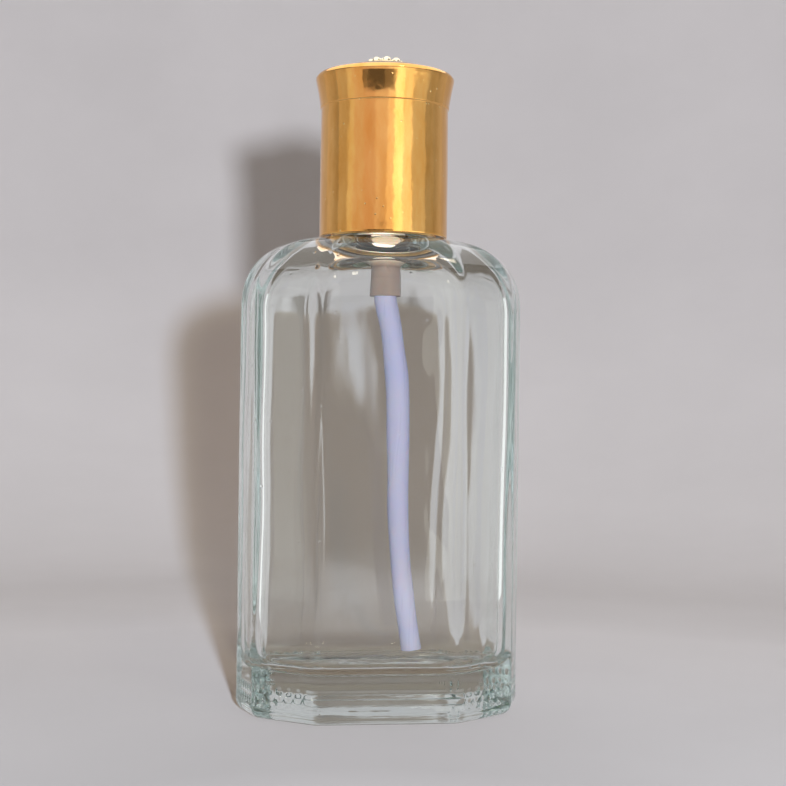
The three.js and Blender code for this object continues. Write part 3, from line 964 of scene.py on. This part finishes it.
def bump(tree, height, depth, normal=None):
    """A bump depth millimetres deep, on top of another one if its normal is given."""
    inputs = [("Height", height), ("Distance", depth * MM)]
    if normal is not None:
        inputs.append(("Normal", normal))
    return add(tree, "Bump", inputs).outputs["Normal"]


def link(output, shader, name):
    shader.id_data.links.new(output, shader.inputs[name])


DIFFUSE_TINT = (0.9, 0.88, 0.86)
SHADOW_TINT = (0.6, 0.51, 0.4)


def glass_material():
    """Soda-lime glass: faint green in its depth, softly waved, with a few smudges.

    Light on its way to what is inside or behind it passes straight through, and is tinted.
    """
    material, tree, shader = new_material(
        "clear_glass",
        Base_Color=(0.975, 0.99, 0.98, 1),
        IOR=1.52,
        Transmission_Weight=1,
    )
    flat = place(tree)
    tall = place(tree, (1, 1, 0.25))
    smudge = cloud(tree, flat, 14, 5, 0.65)
    link(between(tree, smudge, 0.56, 0.72, 0, 0.06), shader, "Roughness")
    ripple = bump(tree, cloud(tree, tall, 7, 2), 0.12)
    seeds = bump(tree, spots(tree, flat, 5, 0.06), 0.04, ripple)
    link(seeds, shader, "Normal")
    absorb = add(tree, "VolumeAbsorption", [("Color", (0.64, 0.84, 0.83, 1)), ("Density", 13)])
    rays = add(tree, "LightPath")
    surface = shader.outputs[0]
    for ray, tint in (("Diffuse", DIFFUSE_TINT), ("Shadow", SHADOW_TINT)):
        clear = add(tree, "BsdfTransparent", [("Color", (*tint, 1))])
        inputs = [(0, rays.outputs[f"Is {ray} Ray"]), (1, surface), (2, clear.outputs[0])]
        surface = add(tree, "MixShader", inputs).outputs[0]
    output = tree.nodes["Material Output"]
    link(surface, output, "Surface")
    link(absorb.outputs[0], output, "Volume")
    return material


def gold_material(name, colour, worn, haze):
    """Bright gold with slow waves, worn patches and rubbed specks; haze is its roughness."""
    material, tree, shader = new_material(name, Metallic=1)
    flat = place(tree)
    tall = place(tree, (1, 1, 0.3))
    patches = cloud(tree, tall, 3, 6, 0.65)
    tone = mixed(tree, between(tree, patches, 0.4, 0.65, 0, 1), colour, worn)
    specks = spots(tree, flat, 1.5, 0.14)
    thin = between(tree, cloud(tree, flat, 5, 3), 0.48, 0.6, 0, 1)
    rubbed = add(tree, "Math", [(0, specks), (1, thin)], operation="MULTIPLY").outputs[0]
    link(mixed(tree, rubbed, tone, (0.97, 0.74, 0.36)), shader, "Base Color")
    smear = between(tree, cloud(tree, tall, 3.5, 6, 0.7), 0.35, 0.75, *haze)
    link(smear, shader, "Roughness")
    wave = bump(tree, cloud(tree, tall, 4.5, 2), 0.12)
    peel = bump(tree, cloud(tree, flat, 1.6, 1), 0.03, wave)
    link(bump(tree, rubbed, 0.03, peel), shader, "Normal")
    return material


def bead_material():
    """Pale gold metallised cut beads."""
    material, tree, shader = new_material("bead_metal", Metallic=1)
    patches = cloud(tree, place(tree), 0.8, 2)
    tone = mixed(tree, patches, (0.95, 0.8, 0.45), (0.98, 0.94, 0.8))
    link(tone, shader, "Base Color")
    link(between(tree, patches, 0.3, 0.7, 0.04, 0.16), shader, "Roughness")
    return material


def satin(tree, shader, spread, low, high):
    """The fine texture of moulded plastic, with its roughness from low to high."""
    gloss = between(tree, cloud(tree, spread, 1.5, 4), 0.3, 0.7, low, high)
    link(gloss, shader, "Roughness")
    link(bump(tree, cloud(tree, spread, 0.12, 2), 0.004), shader, "Normal")


def white_material():
    """Moulded white plastic with a faint mottling."""
    material, tree, shader = new_material("white_plastic")
    spread = place(tree)
    mottle = between(tree, cloud(tree, spread, 3, 4), 0.3, 0.75, 0, 1)
    tone = mixed(tree, mottle, (0.68, 0.67, 0.65), (0.61, 0.6, 0.58))
    link(tone, shader, "Base Color")
    satin(tree, shader, spread, 0.34, 0.5)
    return material


def milky_material():
    """Natural plastic: clear and faintly mauve where thin, milky in the thick barrel."""
    material, tree, shader = new_material(
        "milky_plastic",
        Subsurface_Weight=0.3,
        Subsurface_Scale=MM,
    )
    spread = place(tree)
    height = add(tree, "SeparateXYZ", [(0, spread)]).outputs["Z"]
    thick = between(tree, height, (SPRING_FOOT - 4.5) * MM, (SPRING_FOOT - 1.5) * MM, 0, 1)
    mottle = between(tree, cloud(tree, spread, 2.5, 4), 0.3, 0.75, 0, 1)
    thin_tone = mixed(tree, mottle, (0.27, 0.26, 0.3), (0.22, 0.21, 0.25))
    thick_tone = mixed(tree, mottle, (0.9, 0.88, 0.82), (0.84, 0.82, 0.76))
    link(mixed(tree, thick, thin_tone, thick_tone), shader, "Base Color")
    satin(tree, shader, spread, 0.26, 0.42)
    return material


def tube_material():
    """Extruded tube: translucent, faintly lavender, with fine lines along its length."""
    material, tree, shader = new_material(
        "tube_plastic",
        Subsurface_Weight=0.25,
        Subsurface_Scale=0.8 * MM,
        IOR=1.5,
    )
    lines = cloud(tree, place(tree, (1, 1, 0.02)), 0.5, 3)
    blush = between(tree, cloud(tree, place(tree), 9, 2), 0.35, 0.65, 0, 1)
    link(mixed(tree, blush, (0.37, 0.48, 0.97), (0.43, 0.53, 0.92)), shader, "Base Color")
    link(between(tree, lines, 0.3, 0.7, 0.22, 0.42), shader, "Roughness")
    link(bump(tree, lines, 0.03), shader, "Normal")
    return material


def rubber_material():
    material, tree, shader = new_material("sealing_rubber")
    flat = place(tree)
    bloom = cloud(tree, flat, 1.2, 5)
    tone = mixed(tree, bloom, (0.08, 0.08, 0.083), (0.14, 0.14, 0.145))
    link(tone, shader, "Base Color")
    link(between(tree, bloom, 0.3, 0.7, 0.65, 0.9), shader, "Roughness")
    link(bump(tree, cloud(tree, flat, 0.1, 2), 0.01), shader, "Normal")
    return material


def steel_material():
    material, tree, shader = new_material("bright_steel", Metallic=1)
    drawn = cloud(tree, place(tree), 0.4, 5)
    link(mixed(tree, drawn, (0.56, 0.57, 0.58), (0.7, 0.7, 0.7)), shader, "Base Color")
    link(between(tree, drawn, 0.3, 0.7, 0.12, 0.3), shader, "Roughness")
    link(bump(tree, drawn, 0.004), shader, "Normal")
    return material


# ------------------------ stage and camera

LENS = 67.3
CAMERA_DISTANCE = 256
CAMERA_HEIGHT = 54.9
CAMERA_AZIMUTH = -7
CAMERA_ROLL = 0.75
CAMERA_SIDE_STEP = 2.08

NEAR_TONE = (0.46, 0.447, 0.44)
FAR_TONE = (0.95, 0.93, 0.925)
WALL_TONE = (0.82, 0.8, 0.8)
BRIGHTEST_SPOT = Vector((-12, -100, 0))
NEAR_REACH, FAR_REACH = 60, 190
RISE_FOOT, RISE_TOP = 5, 120
FLOOR_REACH = 170
WALL_REACH = 520
WALL_HEIGHT = 430


def floor_material():
    """Pale and plain, and a little darker where the lamps are nearest, so that it looks even."""
    material, tree, shader = new_material("pale_floor", Roughness=0.85, Specular_IOR_Level=0.1)
    spread = place(tree)
    offset = add(tree, "VectorMath", [(0, spread), (1, BRIGHTEST_SPOT * MM)], operation="SUBTRACT")
    reach = add(tree, "VectorMath", [(0, offset.outputs[0])], operation="LENGTH").outputs["Value"]
    outward = between(tree, reach, NEAR_REACH * MM, FAR_REACH * MM, 0, 1)
    height = add(tree, "SeparateXYZ", [(0, spread)]).outputs["Z"]
    risen = between(tree, height, RISE_FOOT * MM, RISE_TOP * MM, 0, 1)
    tone = mixed(tree, risen, mixed(tree, outward, NEAR_TONE, FAR_TONE), WALL_TONE)
    grain = cloud(tree, spread, 90, 4)
    shade = mixed(tree, between(tree, grain, 0.3, 0.7, 0, 1), (1, 1, 1), (0.94, 0.94, 0.94))
    inputs = [(0, 1), (6, tone), (7, shade)]
    base = add(tree, "Mix", inputs, data_type="RGBA", blend_type="MULTIPLY")
    link(base.outputs[2], shader, "Base Color")
    return material


def felt_material():
    material, tree, shader = new_material("dark_felt", Roughness=0.9, Specular_IOR_Level=0.1)
    nap = cloud(tree, place(tree), 6, 4)
    link(mixed(tree, nap, (0.24, 0.23, 0.22), (0.32, 0.3, 0.29)), shader, "Base Color")
    return material


def floor_and_backdrop():
    """A pale floor that curves up all round into a wall."""
    bend = WALL_REACH - FLOOR_REACH
    profile = [(0, 0), (60, 0), (120, 0)]
    steps = 24
    for step in range(steps + 1):
        angle = math.pi / 2 * step / steps
        profile.append((FLOOR_REACH + bend * math.sin(angle), bend * (1 - math.cos(angle))))
    profile.append((WALL_REACH, WALL_HEIGHT))
    stage = turned("floor", profile, 128)
    stage.data.materials.append(floor_material())


def facing(azimuth, elevation):
    """The direction from the bottle to an azimuth (0 is the front, 90 is +X) and elevation."""
    a, e = math.radians(azimuth), math.radians(elevation)
    return Vector((math.sin(a) * math.cos(e), -math.cos(a) * math.cos(e), math.sin(e)))


FLAG_AZIMUTH = -20
FLAG_DISTANCE = 150
FLAG_HALF_WIDTH = 36
FLAG_TOP = 91


def dark_flag():
    """A dark board in front, seen only in reflections: it shades the flared head of the cap."""
    back = facing(FLAG_AZIMUTH, 0)
    across = UP.cross(back) * FLAG_HALF_WIDTH
    foot = back * FLAG_DISTANCE
    top = foot + UP * FLAG_TOP
    corners = (foot - across, foot + across, top + across, top - across)
    flag = mesh_object("flag", corners, [(0, 1, 2, 3)])
    flag.data.materials.append(felt_material())
    for kind in ("camera", "diffuse", "transmission", "shadow", "volume_scatter"):
        setattr(flag, f"visible_{kind}", False)


def softbox(name, centre, back, size, radiance, colour):
    """An area light in millimetres. It shines along -back."""
    width, height = size
    light = bpy.data.lights.new(name, "AREA")
    light.shape = "RECTANGLE"
    light.size, light.size_y = width * MM, height * MM
    light.energy = radiance * math.pi * light.size * light.size_y
    light.color = colour
    lamp = in_scene(name, light)
    lamp.location = centre * MM
    lamp.rotation_mode = "QUATERNION"
    lamp.rotation_quaternion = (-back).to_track_quat("-Z", "Y")
    lamp.visible_camera = False
    return lamp


KEY_AZIMUTH = 26
KEY_ELEVATION = 50
KEY_DISTANCE = 620
KEY_AIM_HEIGHT = 60
KEY_WIDTH = 60
KEY_RADIANCE = 14


def key_lamp():
    """A small strong warm lamp, high on the right, whose shadow lies to the left."""
    back = facing(KEY_AZIMUTH, KEY_ELEVATION)
    centre = back * KEY_DISTANCE + UP * KEY_AIM_HEIGHT
    softbox("key", centre, back, (KEY_WIDTH, KEY_WIDTH), KEY_RADIANCE, (1, 0.87, 0.68))


CARD_DISTANCE = 165
CARDS = (
    (-109, 32, 0, 165, 0.1, (0.96, 1, 0.95)),
    (-83, 22, 0, 165, 0.3, (1, 0.96, 0.82)),
    (-66, 12, 0, 165, 0.56, (0.97, 1, 0.9)),
    (-51, 18, 0, 165, 0.5, (1, 0.85, 0.8)),
    (-32, 20, 92, 165, 0.5, (1, 0.73, 0.66)),
    (-12, 20, 92, 165, 0.61, (1, 0.84, 0.8)),
    (4, 12, 92, 165, 0.88, (1, 0.95, 0.95)),
    (18, 16, 0, 165, 1.6, (0.97, 1, 0.9)),
    (34, 16, 0, 165, 1.04, (0.97, 1, 0.9)),
    (56, 28, 82, 165, 0.48, (0.93, 1, 1)),
    (56, 28, 0, 82, 1.4, (0.93, 1, 1)),
    (80, 20, 0, 165, 0.2, (0.9, 1, 1)),
    (104, 28, 0, 165, 0.1, (0.9, 1, 1)),
)


EDGE_CARDS = (-92, 96)
EDGE_CARD_DEGREES = 56
EDGE_CARD_HEIGHT = 140
EDGE_CARD_RADIANCE = 0.55


def standing_card(name, azimuth, degrees, low, high, radiance, colour):
    """A card that stands round the bottle and faces it. It lights no matt surface."""
    width = 2 * CARD_DISTANCE * math.tan(math.radians(degrees / 2))
    back = facing(azimuth, 0)
    centre = back * CARD_DISTANCE + UP * (low + high) / 2
    card = softbox(name, centre, back, (width, high - low), radiance, colour)
    card.visible_diffuse = False
    return card


def reflection_cards():
    """Tinted cards: (azimuth, degrees wide, low edge, high edge, radiance, colour).

    They are seen only in the metal and in the gloss of the glass.
    """
    for number, placing in enumerate(CARDS):
        standing_card(f"card_{number}", *placing).visible_transmission = False


def edge_cards():
    """Cool white cards at both sides, seen only through the glass: they light its edges."""
    for number, azimuth in enumerate(EDGE_CARDS):
        placing = (azimuth, EDGE_CARD_DEGREES, 0, EDGE_CARD_HEIGHT)
        card = standing_card(f"edge_card_{number}", *placing, EDGE_CARD_RADIANCE, (0.92, 1, 1))
        card.visible_glossy = False


TOP_CARD_HEIGHT = 420
TOP_CARD_WIDTH = 900
TOP_CARD_RADIANCE = 1.3


def top_card():
    """A wide pale card overhead, seen only in the top of the cap and in the glass."""
    centre, size = UP * TOP_CARD_HEIGHT, (TOP_CARD_WIDTH, TOP_CARD_WIDTH)
    card = softbox("top_card", centre, UP, size, TOP_CARD_RADIANCE, (0.97, 0.98, 1))
    card.visible_diffuse = False
    card.visible_transmission = False


FRONT_AZIMUTH = -1.3
FRONT_DISTANCE = 300
FRONT_LIFT = 15
FRONT_RISE = 0.3
FRONT_LAMP_RADIUS = 6
FRONT_CONE_DEGREES = 120
FRONT_WATTS = 12


def front_lamp():
    """A spotlight just above the camera, so that the bottle's shadow lies behind it."""
    light = bpy.data.lights.new("front_lamp", "SPOT")
    light.shadow_soft_size = FRONT_LAMP_RADIUS * MM
    light.spot_size = math.radians(FRONT_CONE_DEGREES)
    light.spot_blend = 1
    light.energy = FRONT_WATTS
    light.color = (0.96, 0.99, 1.07)
    lamp = in_scene("front_lamp", light)
    back = facing(FRONT_AZIMUTH, 0)
    lamp.location = (back * FRONT_DISTANCE + UP * (CAMERA_HEIGHT + FRONT_LIFT)) * MM
    aim = UP * FRONT_RISE - back
    lamp.rotation_euler = aim.to_track_quat("-Z", "Y").to_euler()
    lamp.visible_camera = False
    lamp.visible_glossy = False
    lamp.visible_transmission = False


WORLD_COLOUR = (0.15, 0.126, 0.103, 1)


def studio_light():
    world = bpy.data.worlds.new("studio")
    bpy.context.scene.world = world
    world.use_nodes = True
    background = world.node_tree.nodes["Background"]
    background.inputs["Color"].default_value = WORLD_COLOUR
    front_lamp()
    key_lamp()
    reflection_cards()
    top_card()
    edge_cards()


def camera():
    data = bpy.data.cameras.new("camera")
    data.lens = LENS
    data.clip_start = 10 * MM
    eye = in_scene("camera", data)
    back = facing(CAMERA_AZIMUTH, 0)
    right = UP.cross(back)
    eye.location = (back * CAMERA_DISTANCE + right * CAMERA_SIDE_STEP + UP * CAMERA_HEIGHT) * MM
    eye.rotation_euler = Matrix((right, UP, back)).transposed().to_euler()
    eye.rotation_euler.rotate_axis("Z", math.radians(CAMERA_ROLL))
    bpy.context.scene.camera = eye


# ------------------------ assembly


PIECES = (
    (glass_body, "bottle", "glass", "glass_bottle"),
    (neck_gasket, "bottle", "rubber", "neck_gasket"),
    (pump_housing, "bottle", "milky_plastic", "pump_housing"),
    (dip_tube, "bottle", "tube_plastic", "dip_tube"),
    (pump_turret, "bottle", "white_plastic", "pump_turret"),
    (stem_seal, "bottle", "rubber", "stem_seal"),
    (crimp_ferrule, "bottle", "gold_aluminium", "crimp_ferrule"),
    (collar_insert, "bottle", "white_plastic", "collar_insert"),
    (collar_shell, "bottle", "gold_aluminium", "collar_shell"),
    (return_spring, "bottle", "steel", "return_spring"),
    (inlet_ball, "valve_ball", "steel", "inlet_ball"),
    (piston_seat, "plunger", "white_plastic", "piston_seat"),
    (pump_stem, "plunger", "white_plastic", "pump_stem"),
    (piston, "piston", "white_plastic", "piston"),
    (actuator_core, "button", "white_plastic", "actuator_core"),
    (actuator_shell, "button", "gold_aluminium", "actuator_shell"),
    (nozzle_insert, "button", "white_plastic", "nozzle_insert"),
    (cap_liner, "cap", "white_plastic", "cap_liner"),
    (cap_shell, "cap", "gold_cap", "cap_shell"),
    (cap_plate, "cap", "gold_cap", "cap_top_plate"),
    (cap_rosette, "cap", "rosette", "cap_rosette"),
)


def dress():
    """Makes every piece, in the material of its slot, and puts it on its body."""
    materials = {
        "glass": glass_material(),
        "gold_cap": gold_material("cap_gold", (0.95, 0.53, 0.17), (0.86, 0.43, 0.11), (0.07, 0.2)),
        "gold_aluminium": gold_material(
            "sheet_gold", (0.9, 0.56, 0.19), (0.82, 0.48, 0.14), (0.1, 0.24)
        ),
        "white_plastic": white_material(),
        "milky_plastic": milky_material(),
        "tube_plastic": tube_material(),
        "rubber": rubber_material(),
        "steel": steel_material(),
        "rosette": bead_material(),
    }
    for make, body, slot, node in PIECES:
        piece = make()
        placed(piece, body, materials[slot], node)
        if make is return_spring:
            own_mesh(piece)


def look_settings():
    """Plain colours, and enough bounces for light to find its way through thick glass."""
    bpy.context.scene.view_settings.view_transform = "Standard"
    cycles = bpy.context.scene.cycles
    cycles.max_bounces = 32
    cycles.glossy_bounces = 24
    cycles.transmission_bounces = 32
    cycles.transparent_max_bounces = 24
    cycles.caustics_reflective = False
    cycles.caustics_refractive = False


look_settings()
camera()
floor_and_backdrop()
dark_flag()
studio_light()
dress()
